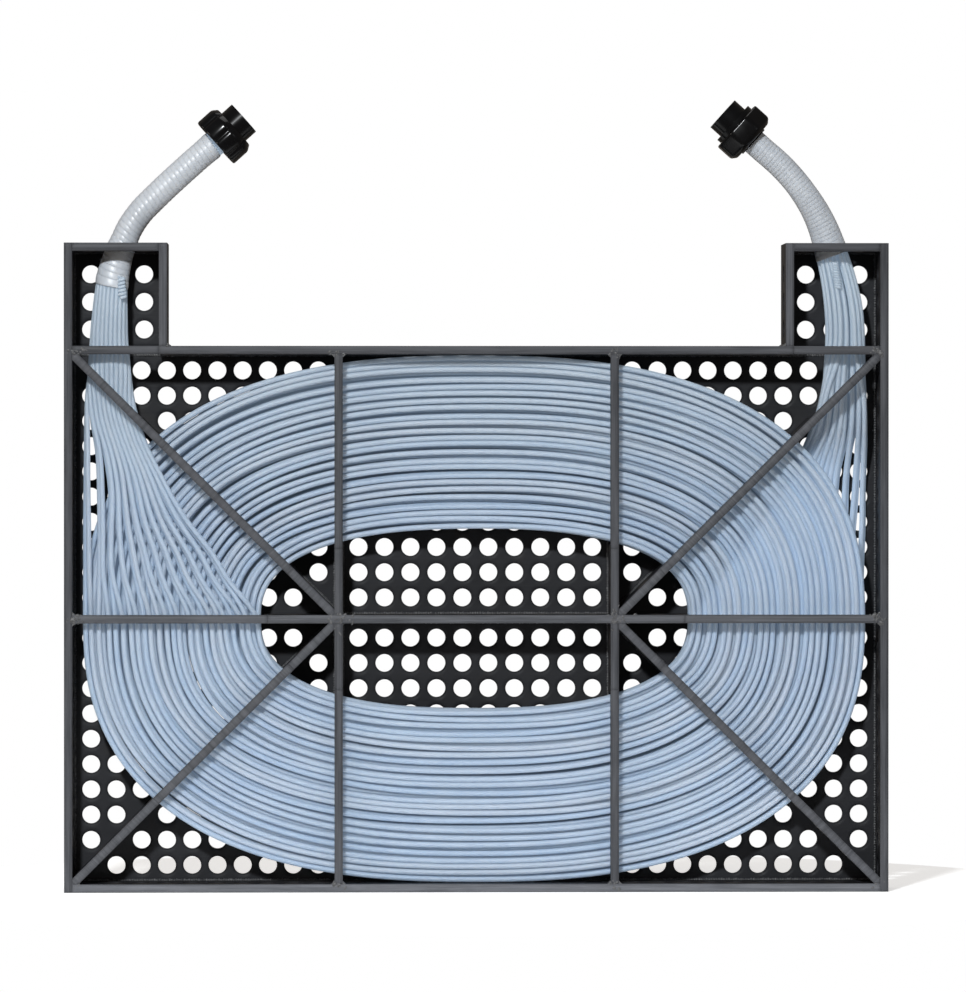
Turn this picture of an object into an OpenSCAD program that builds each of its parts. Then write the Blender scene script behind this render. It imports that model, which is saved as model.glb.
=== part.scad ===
// Immersion coil heat exchanger: an oval winding of thin plastic tubes in a welded sheet frame,
// with two risers that end in pipe unions. Millimetres, +Z up, front at -Y, origin at the bottom centre.

/* [Frame] */
// Width over the side walls
overall_w = 800; // [760:1:840]
// Height of the main box, without its towers
main_h = 530; // [500:1:560]
// Depth from the front edges to the back face
depth = 70; // [68:1:90]
// Thickness of the sheet that walls, ribs and strips are cut from
sheet_t = 8; // [6:0.5:9]
// Depth of the narrow strips that hold the tubes in at the front
strip_d = 12; // [8:0.5:12]
// Distance of the upright ribs from the middle
upright_x = 134; // [120:1:140]
// How far a rib's rear part reaches past its front strip's butt joint
rib_lap = 4; // [2:0.5:6]
// Length of the short ribs in the upper corners
upper_stub = 24; // [12:1:26]
// Leg of a weld bead's triangle
bead = 3; // [2:0.5:4]

/* [Towers] */
// Width of a tower
tower_w = 100; // [90:1:120]
// Height of a tower above the main box
tower_h = 100; // [90:1:130]
// Diameter of the riser's hole in a tower cap
cap_hole_d = 42; // [36:1:50]

/* [Perforation] */
// Diameter of the holes in the sheets
hole_d = 17.5; // [12:0.5:19]
// Distance from hole to hole
hole_pitch = 24.7; // [22:0.1:30]
// Distance from the outer rows of holes to the bottom or top wall
wall_margin = 15; // [10:0.5:16]
// Distance from the outer columns of holes to a side wall
side_margin = 16; // [12:0.5:18]
// Least distance from a hole's centre to the middle of a rib
rib_margin = 19.5; // [16:0.5:20]
// Distance from a tower's outer rows of holes to its cap and to the middle of the top wall
tower_margin = 21; // [18:0.5:22]

/* [Winding] */
// Outside diameter of a tube
tube_d = 4.8; // [3.5:0.1:5.4]
// Number of tubes side by side across the winding
tubes = 24; // [12:1:24]
// Half width of the oval window, to the innermost tube's edge
window_a = 207; // [195:1:215]
// Half height of the oval window, to the innermost tube's edge
window_b = 87.4; // [80:0.2:92]
// Gap between the outermost tube and a side wall
side_gap = 12; // [4:0.5:16]
// Exponent of the oval's outline: 2 is an ellipse, more is squarer
oval_n = 2.47; // [2.2:0.01:2.8]
// Gap that tubes keep to the sheet that carries them
seat = 0.3; // [0.2:0.05:0.4]

/* [Tube fans] */
// Thickness of a fan where its tubes lie side by side
fan_t = 5.2; // [4.6:0.1:5.6]
// Height above the oval's middle where a fan starts to leave its layer
fan_leave = 172; // [168:1:190]
// Height above the oval's middle where a fan is as narrow as its neck
fan_gather = 208; // [200:1:220]
// Depth of the grooves between a fan's tubes
fan_groove = 1; // [0.5:0.1:1.4]
// Width of a fan at the foot of its tower
neck_w = 38; // [34:0.5:42]
// Depth of a fan at the foot of its tower
neck_t = 20; // [18:0.5:24]

/* [Risers] */
// Distance of a riser from the outside of its tower, at the tower's foot
riser_x = 38.8; // [36:0.2:42]
// Angle that a riser turns through
riser_turn = 48; // [40:1:55]
// Height of the left riser's straight foot
left_foot = 50; // [45:1:60]
// Radius of the left riser's bend
left_bend_r = 114; // [105:1:125]
// Length from the left riser's bend to the end of its union
left_run = 131; // [115:1:140]
// Height of the right riser's straight foot
right_foot = 16; // [12:1:24]
// Radius of the right riser's bend
right_bend_r = 230; // [215:1:240]
// Length from the right riser's bend to the end of its union
right_run = 60; // [56:1:75]
// Diameter of the bundle inside its wrap
bundle_d = 21.8; // [20:0.1:22]
// Inside diameter of the spiral wrap, over its corners
wrap_bore_d = 24.4; // [24.4:0.1:25]
// Outside diameter of the spiral wrap's ribs, over their corners
wrap_d = 26.6; // [26.6:0.1:28]
// Depth of the grooves between the wrap's ribs
wrap_groove = 0.5; // [0.3:0.05:0.5]
// Distance from rib to rib on the left wrap
left_rib_pitch = 5.2; // [5:0.1:6.5]
// Distance from rib to rib on the right wrap
right_rib_pitch = 4; // [3.8:0.1:5]
// Number of ribs on the left wrap
left_ribs = 28; // [16:2:28]
// Number of ribs on the right wrap
right_ribs = 22; // [12:2:24]
// Length of bare bundle between the left wrap and its union
left_bare = 25; // [20:1:40]
// Length of bare bundle between the right wrap and its union
right_bare = 39; // [30:1:50]

/* [Unions] */
// Bore of a socket for 25 mm pipe
socket_bore_d = 25.1; // [25:0.1:25.4]
// Depth of a socket
socket_deep = 19; // [17:0.5:22]
// Outside diameter of a socket
socket_d = 35.4; // [33:0.2:38]
// How far a socket stands out of its nut or collar
socket_out = 13.3; // [11:0.1:14]
// Through bore behind a socket
waterway_d = 20; // [16:0.5:21]
// Outside diameter of the thread
thread_d = 42.8; // [41:0.1:43]
// Outside diameter of the left nut
left_nut_d = 54.2; // [53:0.1:56]
// Length of the left nut
left_nut_len = 24; // [22:0.5:26]
// Diameter across the flats of the right nut
right_nut_d = 53.4; // [52:0.1:56]
// Length of the right nut
right_nut_len = 21.6; // [20:0.1:24]
// Thickness of a nut's shoulder
shoulder = 5; // [4:0.5:6]
// Thickness of the flange that a nut pulls on
flange = 4; // [3:0.5:5]
// Diameter of the right socket body's collar
collar_d = 44.7; // [43.5:0.1:50]
// Length of that collar
collar_len = 4.4; // [3:0.1:6]
// Radial running clearance inside the nuts
run_clear = 0.1; // [0.05:0.01:0.1]
// Gap between faces that clamp together
face_gap = 0.3; // [0.2:0.05:0.4]
// Bore that the bundle is bonded into
bundle_bore_d = 26.4; // [26:0.1:27]
// Thickness of a tube sheet
sheet_len = 5.6; // [4:0.1:7]
// Thickness of an O-ring
ring_t = 2.6; // [2:0.1:3]

/* [Hidden] */
$fn = 64;

SHEET = [0.22, 0.23, 0.245];
WELD = [0.16, 0.17, 0.18];
TUBE = [0.66, 0.76, 0.88];
WRAP = [0.84, 0.87, 0.9];
UNION = [0.09, 0.09, 0.1];
RUBBER = [0.05, 0.05, 0.05];
RESIN = [0.75, 0.76, 0.74];
LEFT = -1;
RIGHT = 1;

// Walls: inner faces, and the depth that the walls fill in front of the back panel.
half_w = overall_w / 2;
in_x = half_w - sheet_t;
top_z = main_h - sheet_t;
mid_z = main_h / 2;
tower_top = main_h + tower_h;
tower_in_x = half_w - tower_w;
front_y = -depth / 2;
back_y = depth / 2;
panel_y = back_y - sheet_t;
strip_y = front_y + strip_d;
wall_mid_y = (front_y + panel_y) / 2;

// The winding fills the depth between the strips and the back panel, with a fan on each side of it.
tube_r = tube_d / 2;
layer_y = strip_y + 2 * seat + fan_t + tube_r + seat;
core_front_y = layer_y + tube_r + seat;
core_back_y = panel_y - fan_t - 2 * seat;
left_fan_y = strip_y + seat + fan_t / 2;
right_fan_y = panel_y - seat - fan_t / 2;
outer_a = in_x - side_gap;
outer_b = mid_z - sheet_t - seat;

// Holes: places along a line of sheet, from a wall to a rib or between two ribs.
function span_holes(from, to, m0, m1) =
    let (n = floor((to - from - m0 - m1) / hole_pitch))
    [for (i = [0:n]) from + m0 + i * hole_pitch];
function even_holes(from, to, m) =
    let (n = floor((to - from - 2 * m) / hole_pitch))
    [for (i = [0:n]) from + m + i * (to - from - 2 * m) / n];
outer_columns = [for (x = span_holes(0, in_x - upright_x, side_margin, rib_margin)) in_x - x];
columns = concat([for (x = outer_columns) -x], even_holes(-upright_x, upright_x, rib_margin), outer_columns);
low_rows = span_holes(sheet_t, mid_z, wall_margin, rib_margin);
rows = concat(low_rows, [for (z = low_rows) main_h - z]);
tower_columns = [for (x = even_holes(0, tower_w - 2 * sheet_t, side_margin)) in_x - x];
tower_rows = even_holes(main_h - sheet_t / 2, tower_top - sheet_t, tower_margin);

// The rule of the oval, and how far a line from p along d runs to meet it.
function oval_at(a, b, t) = [
    a * sign(cos(t)) * pow(abs(cos(t)), 2 / oval_n),
    b * sign(sin(t)) * pow(abs(sin(t)), 2 / oval_n)
];
function in_oval(p, a, b) = pow(abs(p.x) / a, oval_n) + pow(abs(p.y) / b, oval_n) < 1;
function oval_reach(p, d, a, b, lo = 0, hi = 1000, k = 30) =
    k == 0 ? lo :
    in_oval(p + (lo + hi) / 2 * d, a, b)
        ? oval_reach(p, d, a, b, (lo + hi) / 2, hi, k - 1)
        : oval_reach(p, d, a, b, lo, (lo + hi) / 2, k - 1);
function side_of(d) = [-d.y, d.x] * sheet_t / 2;
function reach_in(p, d, a, b) = min(oval_reach(p + side_of(d), d, a, b), oval_reach(p - side_of(d), d, a, b));
function reach_out(p, d, a, b) = max(oval_reach(p + side_of(d), d, a, b), oval_reach(p - side_of(d), d, a, b));

// Ribs run from a crossing at the middle rib, measured from the oval's centre.
crossing = [upright_x, 0];
corner_dir = [in_x - upright_x, mid_z - sheet_t] / norm([in_x - upright_x, mid_z - sheet_t]);
carry_a = window_a - seat;
carry_b = window_b - seat;
middle_len = reach_in([0, 0], [1, 0], carry_a, carry_b);
upright_len = reach_in(crossing, [0, 1], carry_a, carry_b);
stub_len = reach_in(crossing, corner_dir, carry_a, carry_b);
corner_start = reach_out(crossing, corner_dir, outer_a + seat, outer_b + seat);
corner_len = norm([in_x - upright_x, mid_z - sheet_t]);

// A flat shape drawn in X and Z, filled from y0 to y1.
module slab(y0, y1) {
    translate([0, y1, 0]) rotate([90, 0, 0]) linear_extrude(height = y1 - y0) children();
}

module rect(x0, x1, z0, z1) {
    translate([x0, z0]) square([x1 - x0, z1 - z0]);
}

module on_side(side) {
    if (side == LEFT) mirror([1, 0, 0]) children();
    else children();
}

// Mirrors what is drawn for the upper right to any quarter of the oval.
module quarter(side, up) {
    on_side(side) translate([0, 0, mid_z]) {
        if (up) children();
        else mirror([0, 0, 1]) children();
    }
}

// A bar of sheet between two distances along a line from the crossing.
module bar_2d(from, to, dir) {
    translate(crossing) rotate(atan2(dir.y, dir.x)) translate([from, -sheet_t / 2]) square([to - from, sheet_t]);
}

// The flat outline of the middle and upright bars, that a diagonal stops against.
module cross_2d() {
    rect(0, half_w, -sheet_t / 2, sheet_t / 2);
    rect(upright_x - sheet_t / 2, upright_x + sheet_t / 2, -mid_z, mid_z);
}

module box_2d() {
    rect(0, in_x, 0, mid_z - sheet_t);
}

module diagonal(side, up, from, to, y0, y1) {
    quarter(side, up) slab(y0, y1) intersection() {
        difference() {
            bar_2d(from, to, corner_dir);
            cross_2d();
        }
        box_2d();
    }
}

// Walls and panels.
module panel_holes() {
    run = corner_dir;
    for (x = columns, z = rows) {
        from_cross = [abs(x), abs(z - mid_z)] - crossing;
        off = abs(from_cross.x * run.y - from_cross.y * run.x);
        if (abs(x) < upright_x || off > (hole_d + sheet_t) / 2) translate([x, z]) circle(d = hole_d);
    }
}

module back_panel() {
    color(SHEET) slab(panel_y, back_y) difference() {
        rect(-half_w, half_w, 0, main_h);
        panel_holes();
    }
}

module tower_panel(side) {
    color(SHEET) on_side(side) slab(panel_y, back_y) difference() {
        rect(tower_in_x, half_w, main_h, tower_top);
        for (x = tower_columns, z = tower_rows) translate([x, z]) circle(d = hole_d);
    }
}

module wall_hole(axis) {
    turn = axis == "x" ? [0, 90, 0] : [0, 0, 0];
    rotate(turn) cylinder(d = hole_d, h = 4 * sheet_t, center = true);
}

module side_wall(side) {
    color(SHEET) on_side(side) difference() {
        translate([in_x, front_y, 0]) cube([sheet_t, panel_y - front_y, tower_top]);
        for (z = concat(rows, tower_rows)) translate([half_w, wall_mid_y, z]) wall_hole("x");
    }
}

module flat_wall(reach, z) {
    color(SHEET) difference() {
        translate([-reach, front_y, z]) cube([2 * reach, panel_y - front_y, sheet_t]);
        for (x = columns) if (abs(x) < tower_in_x - hole_d / 2 || z == 0)
            translate([x, wall_mid_y, z]) wall_hole("z");
    }
}

module bottom_wall() {
    flat_wall(in_x, 0);
}

module top_wall() {
    flat_wall(tower_in_x + sheet_t, top_z);
}

module tower_inner_wall(side) {
    color(SHEET) on_side(side) difference() {
        translate([tower_in_x, front_y, main_h]) cube([sheet_t, panel_y - front_y, tower_h]);
        for (z = tower_rows) translate([tower_in_x, wall_mid_y, z]) wall_hole("x");
    }
}

// The riser crosses its cap on the bend, so the hole is centred where the bend passes.
function cap_x(foot, bend_r) =
    let (a = asin(min(1, max(0, (tower_h - sheet_t / 2 - foot) / bend_r))))
    half_w - riser_x - bend_r * (1 - cos(a));

module tower_cap(side, foot, bend_r) {
    color(SHEET) on_side(side) difference() {
        translate([tower_in_x + sheet_t, front_y, tower_top - sheet_t])
            cube([tower_w - 2 * sheet_t, panel_y - front_y, sheet_t]);
        translate([cap_x(foot, bend_r), 0, tower_top - 2 * sheet_t]) cylinder(d = cap_hole_d, h = 3 * sheet_t);
    }
}

module tower_bar(side) {
    color(SHEET) on_side(side) slab(front_y, strip_y) rect(tower_in_x + sheet_t, in_x, top_z, main_h);
}

// Ribs inside the oval. Their front part stops short, and the front strip butts against it.
module middle_rib() {
    color(SHEET) {
        slab(front_y, strip_y)
            rect(rib_lap - middle_len, middle_len - rib_lap, mid_z - sheet_t / 2, mid_z + sheet_t / 2);
        slab(strip_y, panel_y) rect(-middle_len, middle_len, mid_z - sheet_t / 2, mid_z + sheet_t / 2);
    }
}

module upright_half(from, to, y0, y1) {
    slab(y0, y1) rect(upright_x - sheet_t / 2, upright_x + sheet_t / 2, from, to);
}

module upright_rib(side) {
    color(SHEET) for (up = [true, false]) quarter(side, up) {
        upright_half(sheet_t / 2, upright_len - rib_lap, front_y, strip_y);
        upright_half(sheet_t / 2, upright_len, strip_y, panel_y);
    }
}

module rib_stub(side, up) {
    color(SHEET) {
        diagonal(side, up, 0, stub_len - rib_lap, front_y, strip_y);
        diagonal(side, up, 0, stub_len, strip_y, panel_y);
    }
}

// Ribs outside the oval, behind the diagonal strips.
module lower_corner_rib(side) {
    color(SHEET) diagonal(side, false, corner_start, corner_len + sheet_t, strip_y, panel_y);
}

module upper_corner_rib(side) {
    color(SHEET) diagonal(side, true, corner_start, corner_start + upper_stub, strip_y, panel_y);
}

// Front strips.
module middle_strip(side) {
    color(SHEET) on_side(side) slab(front_y, strip_y)
        rect(middle_len - rib_lap, in_x, mid_z - sheet_t / 2, mid_z + sheet_t / 2);
}

module upright_strips(side) {
    color(SHEET) for (up = [true, false]) quarter(side, up)
        upright_half(upright_len - rib_lap, mid_z - sheet_t, front_y, strip_y);
}

module diagonal_strip(side, up) {
    color(SHEET) diagonal(side, up, stub_len - rib_lap, corner_len + sheet_t, front_y, strip_y);
}

// Weld beads in the corners between the strips' sides and the walls.
module bead_at(x, z, dx, dz) {
    slab(front_y, strip_y) translate([x, z]) polygon([[0, 0], [dx * bead, 0], [0, dz * bead]]);
}

module weld_beads() {
    color(WELD) for (side = [LEFT, RIGHT]) {
        for (up = [true, false]) quarter(side, up) {
            bead_at(in_x, sheet_t / 2, -1, 1);
            bead_at(upright_x - sheet_t / 2, mid_z - sheet_t, -1, -1);
            bead_at(upright_x + sheet_t / 2, mid_z - sheet_t, 1, -1);
        }
        on_side(side) bead_at(tower_in_x, main_h, -1, 1);
    }
}

// The winding: a plain core of the deeper turns, and the front layer as one long flat spiral.
OVAL_STEPS = 72;
module oval_2d(a, b) {
    polygon([for (i = [0:OVAL_STEPS - 1]) oval_at(a, b, 360 * i / OVAL_STEPS)]);
}

module winding_core() {
    color(TUBE) translate([0, 0, mid_z]) slab(core_front_y, core_back_y) difference() {
        oval_2d(outer_a, outer_b);
        oval_2d(window_a, window_b);
    }
}

LOOP_RINGS = 24;
TUBE_SIDES = 6;
loop_a = window_a + tube_r;
loop_b = window_b + tube_r;
spiral_end = tubes * LOOP_RINGS;
spiral = [for (i = [0:spiral_end])
    let (u = i / spiral_end, p = oval_at(
        outer_a - tube_r - u * (outer_a - tube_r - loop_a),
        outer_b - tube_r - u * (outer_b - tube_r - loop_b),
        180 + 360 * i / LOOP_RINGS))
    [p.x, layer_y, mid_z + p.y]];

// Distance from p to the straight piece from a to b.
function to_piece(p, a, b) =
    let (ab = b - a, t = max(0, min(1, (p - a) * ab / (ab * ab))))
    norm(p - a - t * ab);
spiral_gaps = [for (i = [0:spiral_end - LOOP_RINGS - 1])
    min(to_piece(spiral[i], spiral[i + LOOP_RINGS], spiral[i + LOOP_RINGS + 1]),
        i == 0 ? 1000 : to_piece(spiral[i], spiral[i + LOOP_RINGS - 1], spiral[i + LOOP_RINGS]))
    - tube_d];
echo(least_gap_in_front_layer = min(spiral_gaps));

function direction(path, i) =
    let (d = path[min(i + 1, len(path) - 1)] - path[max(i - 1, 0)]) d / norm(d);

// Triangles that close a ring of n points whose outline is convex.
function round_cap(n) = [for (i = [1:n - 2]) [0, i, i + 1]];

// Joins a list of rings, each with the same number of points, into one solid with a cap at each end.
module rings_solid(rings, cap) {
    n = len(rings[0]);
    m = len(rings);
    sides = [for (k = [0:m - 2], i = [0:n - 1], half = [0, 1])
        let (a = k * n + i, b = k * n + (i + 1) % n)
        half == 0 ? [a, a + n, b] : [b, a + n, b + n]];
    head = [for (t = cap) [t[0], t[2], t[1]] + (m - 1) * n * [1, 1, 1]];
    polyhedron(points = [for (r = rings, p = r) p], faces = concat(sides, cap, head));
}

module winding_front_layer() {
    color(TUBE) rings_solid([for (i = [0:spiral_end])
        let (d = direction(spiral, i), across = cross([0, 1, 0], d))
        [for (s = [0:TUBE_SIDES - 1]) let (a = 90 + 360 * s / TUBE_SIDES)
            spiral[i] + tube_r * (cos(a) * across + sin(a) * [0, 1, 0])]], round_cap(TUBE_SIDES));
}

// A fan: one row of tubes at the oval's middle, gathered into the neck at the foot of its tower.
function smooth(t) = let (c = max(0, min(1, t))) c * c * (3 - 2 * c);
function mix(a, b, t) = a + t * (b - a);

neck_x = half_w - riser_x;
FAN_RINGS = 10;
FAN_BACK = [1, 0.85, 0.7, 0.5, 0.3, 0.15, 0];
NECK_EDGE = 0.35;

// Half the fan's depth at a share s of its width, from a flat row to the neck's rounded section.
function fan_half_depth(s, gathered) =
    let (round_off = sqrt(max(0, 1 - pow(2 * s - 1, 2))), edge = mix(1, NECK_EDGE, gathered))
    mix(fan_t, neck_t, gathered) / 2 * (edge + (1 - edge) * round_off);

function fan_ring(h, layer) =
    let (
        inner = mix(window_a + tube_r, neck_x - neck_w / 2, smooth(h / fan_gather)),
        outer = mix(outer_a, neck_x + neck_w / 2, smooth(h / fan_gather)),
        gathered = smooth((h - fan_leave) / (mid_z - fan_leave)),
        y = mix(layer, 0, gathered)
    )
    concat(
        [for (i = [0:2 * tubes]) let (s = i / (2 * tubes))
            [mix(inner, outer, s), y - fan_half_depth(s, gathered) + (i % 2 == 0 ? fan_groove : 0), mid_z + h]],
        [for (s = FAN_BACK) [mix(inner, outer, s), y + fan_half_depth(s, gathered), mid_z + h]]
    );

// The fan's cap joins each point of its grooved front to a point of its plain back.
function fan_back_point(i) =
    let (back = len(FAN_BACK) - 1) 2 * tubes + 1 + back - round(i / (2 * tubes) * back);
fan_cap = [for (i = [0:2 * tubes - 1], half = [0, 1])
    let (near = fan_back_point(i), next = fan_back_point(i + 1))
    if (half == 0 || near != next) half == 0 ? [i, i + 1, near] : [i + 1, next, near]];

module fan(side, layer) {
    color(TUBE) on_side(side)
        rings_solid([for (k = [0:FAN_RINGS]) fan_ring(mid_z * k / FAN_RINGS, layer)], fan_cap);
}

// A riser's path: straight foot, bend towards the middle, straight run to the end of its union.
function bend_len(bend_r) = bend_r * riser_turn * PI / 180;
function riser_len(foot, bend_r, run) = foot + bend_len(bend_r) + run;
function turn_at(s, foot, bend_r) = max(0, min(riser_turn, (s - foot) / bend_r * 180 / PI));
function riser_at(s, foot, bend_r) =
    let (
        a = turn_at(s, foot, bend_r),
        on = max(0, s - foot - bend_len(bend_r))
    )
    [neck_x - bend_r * (1 - cos(a)) - on * sin(a), 0, main_h + min(s, foot) + bend_r * sin(a) + on * cos(a)];

// A ring of points round the path, half_x wide in the riser's plane and half_y deep.
function riser_ring(s, foot, bend_r, half_x, half_y, sides) =
    let (a = turn_at(s, foot, bend_r), c = riser_at(s, foot, bend_r))
    [for (i = [0:sides - 1]) let (t = 360 * (i + 0.5) / sides)
        c + half_x * cos(t) * [cos(a), 0, sin(a)] + half_y * sin(t) * [0, 1, 0]];

BUNDLE_SIDES = 16;
WRAP_SIDES = 8;
RIBS_PER_RING = 2;
NECK_RINGS = 4;
FLARE = 8;

function wrap_from(foot, bend_r, run, hidden, bare, len) = riser_len(foot, bend_r, run) - hidden - bare - len;

// Bundle: gathers from the neck to its round section, and opens again where it enters the union.
module riser(side, foot, bend_r, run, hidden, bare, ribs, pitch, end) {
    len = ribs * pitch;
    from = wrap_from(foot, bend_r, run, hidden, bare, len);
    last = riser_len(foot, bend_r, run) - end;
    steps = ribs / RIBS_PER_RING;
    bore_r = bundle_bore_d / 2 - face_gap;
    stations = concat(
        [for (k = [0:NECK_RINGS - 1]) let (t = k / NECK_RINGS)
            [from * t, mix(neck_w / 2, bundle_d / 2, smooth(t)), mix(neck_t / 2, bundle_d / 2, smooth(t))]],
        [for (k = [0:steps]) [from + len * k / steps, bundle_d / 2, bundle_d / 2]],
        [for (s = [from + len + FLARE, last]) [s, bore_r, bore_r]]
    );
    color(TUBE) on_side(side) rings_solid([for (q = stations)
        riser_ring(q[0], foot, bend_r, q[1], q[2], BUNDLE_SIDES)], round_cap(BUNDLE_SIDES));
}

// Wrap: a tube with a groove between each rib and the next, open at both ends.
module spiral_wrap(side, foot, bend_r, run, hidden, bare, ribs, pitch) {
    len = ribs * pitch;
    from = wrap_from(foot, bend_r, run, hidden, bare, len);
    bore = [for (k = [0:ribs / RIBS_PER_RING])
        riser_ring(from + k * RIBS_PER_RING * pitch, foot, bend_r, wrap_bore_d / 2, wrap_bore_d / 2, WRAP_SIDES)];
    skin = [for (k = [0:2 * ribs])
        let (r = wrap_d / 2 - (k % 2 == 0 ? wrap_groove : 0))
        riser_ring(from + k * pitch / 2, foot, bend_r, r, r, WRAP_SIDES)];
    rings = concat(skin, [for (k = [len(bore) - 1:-1:0]) bore[k]]);
    n = WRAP_SIDES;
    m = len(rings);
    color(WRAP) on_side(side) polyhedron(
        points = [for (r = rings, p = r) p],
        faces = [for (k = [0:m - 1], i = [0:n - 1], half = [0, 1])
            let (a = k * n + i, b = k * n + (i + 1) % n, c = (k + 1) % m * n + i, d = (k + 1) % m * n + (i + 1) % n)
            half == 0 ? [a, c, b] : [b, c, d]]);
}

// Unions. Each is turned about its own axis: local +Z points out of the socket, 0 is the socket's end.
module at_union(side, foot, bend_r, run) {
    on_side(side)
        translate(riser_at(riser_len(foot, bend_r, run), foot, bend_r))
        rotate([0, -riser_turn, 0])
        children();
}

thread_r = thread_d / 2;
nut_r = thread_r + run_clear;
socket_r = socket_d / 2;
flange_r = nut_r - 2 * face_gap;
ring_mid_r = (thread_r + bundle_bore_d / 2) / 2;
sheet_r = bundle_bore_d / 2 - run_clear;
CHAMFER = 6.4;
LOBES = 8;
LOBE_CUT = 4;
LOBE_DEEP = 1.8;
GRIP_SIDES = 8;
TAIL_OUT = 1.5;
TAIL_WALL = 2.6;
right_tail_r = bundle_bore_d / 2 + TAIL_WALL;
tube_bore_d = tube_d - 1.4;
SHEET_RINGS = [[4, 3.1], [8, 6.7], [12, 10.8]];

// Places along each union's axis, from the socket's end back to the bundle.
left_flange_z = -socket_out - shoulder - face_gap;
left_face_z = left_flange_z - flange - face_gap;
left_nut_end = -socket_out - left_nut_len;
left_body_end = left_nut_end + face_gap;
collar_z = -socket_out - collar_len;
right_nut_z = collar_z - face_gap;
right_nut_end = right_nut_z - right_nut_len;
right_flange_end = right_nut_end + shoulder + face_gap;
right_flange_z = right_flange_end + flange;
right_face_z = right_flange_z + face_gap;

// A ring with a bore, turned about the axis.
module turned(r0, r1, z0, z1) {
    translate([0, 0, z0]) difference() {
        cylinder(r = r1, h = z1 - z0);
        translate([0, 0, -1]) cylinder(r = r0, h = z1 - z0 + 2);
    }
}

module socket_bore() {
    translate([0, 0, -socket_deep]) cylinder(d = socket_bore_d, h = socket_deep + 1);
}

module waterway(z) {
    translate([0, 0, z - 1]) cylinder(d = waterway_d, h = 1 - z);
}

// The O-ring's groove is cut into a face at height z, and facing says which way that face looks.
groove_w = ring_t + 2 * run_clear;
module ring_groove(z, facing) {
    mid = z - facing * groove_w / 2;
    turned(ring_mid_r - groove_w / 2, ring_mid_r + groove_w / 2,
        min(mid - groove_w / 2, z - 1), max(mid + groove_w / 2, z + 1));
}

module o_ring(z, facing) {
    color(RUBBER) translate([0, 0, z - facing * groove_w / 2])
        rotate_extrude() translate([ring_mid_r, 0]) circle(d = ring_t);
}

module tube_sheet(top) {
    color(RESIN) translate([0, 0, top - sheet_len]) difference() {
        cylinder(r = sheet_r, h = sheet_len);
        for (ring = SHEET_RINGS, i = [0:ring[0] - 1])
            rotate(360 * i / ring[0]) translate([ring[1], 0, -1]) cylinder(d = tube_bore_d, h = sheet_len + 2);
    }
}

// Left union: the nut's shoulder pulls the tail's flange onto the threaded body on the bundle.
module left_nut() {
    lip_r = socket_r + run_clear;
    out_r = left_nut_d / 2;
    color(UNION) difference() {
        rotate_extrude() polygon([
            [lip_r, -socket_out],
            [out_r - CHAMFER, -socket_out],
            [out_r, -socket_out - CHAMFER],
            [out_r, left_nut_end],
            [nut_r, left_nut_end],
            [nut_r, -socket_out - shoulder],
            [lip_r, -socket_out - shoulder]
        ]);
        for (i = [0:LOBES - 1]) rotate(360 * i / LOBES)
            translate([out_r + LOBE_CUT - LOBE_DEEP, 0, left_nut_end - 1]) cylinder(r = LOBE_CUT, h = left_nut_len + 2);
    }
}

module left_tail() {
    color(UNION) difference() {
        union() {
            translate([0, 0, left_flange_z]) cylinder(r = socket_r, h = -left_flange_z);
            translate([0, 0, left_flange_z - flange]) cylinder(r = flange_r, h = flange);
        }
        socket_bore();
        waterway(left_flange_z - flange);
    }
}

module left_threaded_body() {
    color(UNION) difference() {
        turned(bundle_bore_d / 2, thread_r, left_body_end, left_face_z);
        ring_groove(left_face_z, 1);
    }
}

// Right union: the other way round, so the nut stays on the bundle's tail and drives the socket body.
module right_nut() {
    lip_r = right_tail_r + run_clear;
    corner_r = right_nut_d / 2 / cos(180 / GRIP_SIDES);
    color(UNION) intersection() {
        translate([0, 0, right_nut_end]) cylinder(r = corner_r, h = right_nut_len, $fn = GRIP_SIDES);
        rotate_extrude() polygon([
            [lip_r, right_nut_end],
            [corner_r - CHAMFER, right_nut_end],
            [corner_r + 1, right_nut_end + CHAMFER + 1],
            [corner_r + 1, right_nut_z],
            [nut_r, right_nut_z],
            [nut_r, right_nut_end + shoulder],
            [lip_r, right_nut_end + shoulder]
        ]);
    }
}

module right_tail() {
    color(UNION) {
        turned(bundle_bore_d / 2, flange_r, right_flange_end, right_flange_z);
        turned(bundle_bore_d / 2, right_tail_r, right_nut_end - TAIL_OUT, right_flange_end);
    }
}

module right_socket_body() {
    color(UNION) difference() {
        union() {
            translate([0, 0, collar_z]) cylinder(r = socket_r, h = -collar_z);
            translate([0, 0, collar_z]) cylinder(d = collar_d, h = collar_len);
            translate([0, 0, right_face_z]) cylinder(r = thread_r, h = collar_z - right_face_z);
        }
        socket_bore();
        waterway(right_face_z);
        ring_groove(right_face_z, -1);
    }
}

left_sheet_top = left_face_z - face_gap;
right_sheet_top = right_flange_z - face_gap;

module at_left_union() {
    at_union(LEFT, left_foot, left_bend_r, left_run) children();
}

module at_right_union() {
    at_union(RIGHT, right_foot, right_bend_r, right_run) children();
}

module left_riser() {
    riser(LEFT, left_foot, left_bend_r, left_run, -left_nut_end, left_bare, left_ribs, left_rib_pitch,
        sheet_len - left_sheet_top);
}

module right_riser() {
    riser(RIGHT, right_foot, right_bend_r, right_run, TAIL_OUT - right_nut_end, right_bare, right_ribs,
        right_rib_pitch, sheet_len - right_sheet_top);
}

module left_spiral_wrap() {
    spiral_wrap(LEFT, left_foot, left_bend_r, left_run, -left_nut_end, left_bare, left_ribs, left_rib_pitch);
}

module right_spiral_wrap() {
    spiral_wrap(RIGHT, right_foot, right_bend_r, right_run, TAIL_OUT - right_nut_end, right_bare, right_ribs,
        right_rib_pitch);
}

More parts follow.
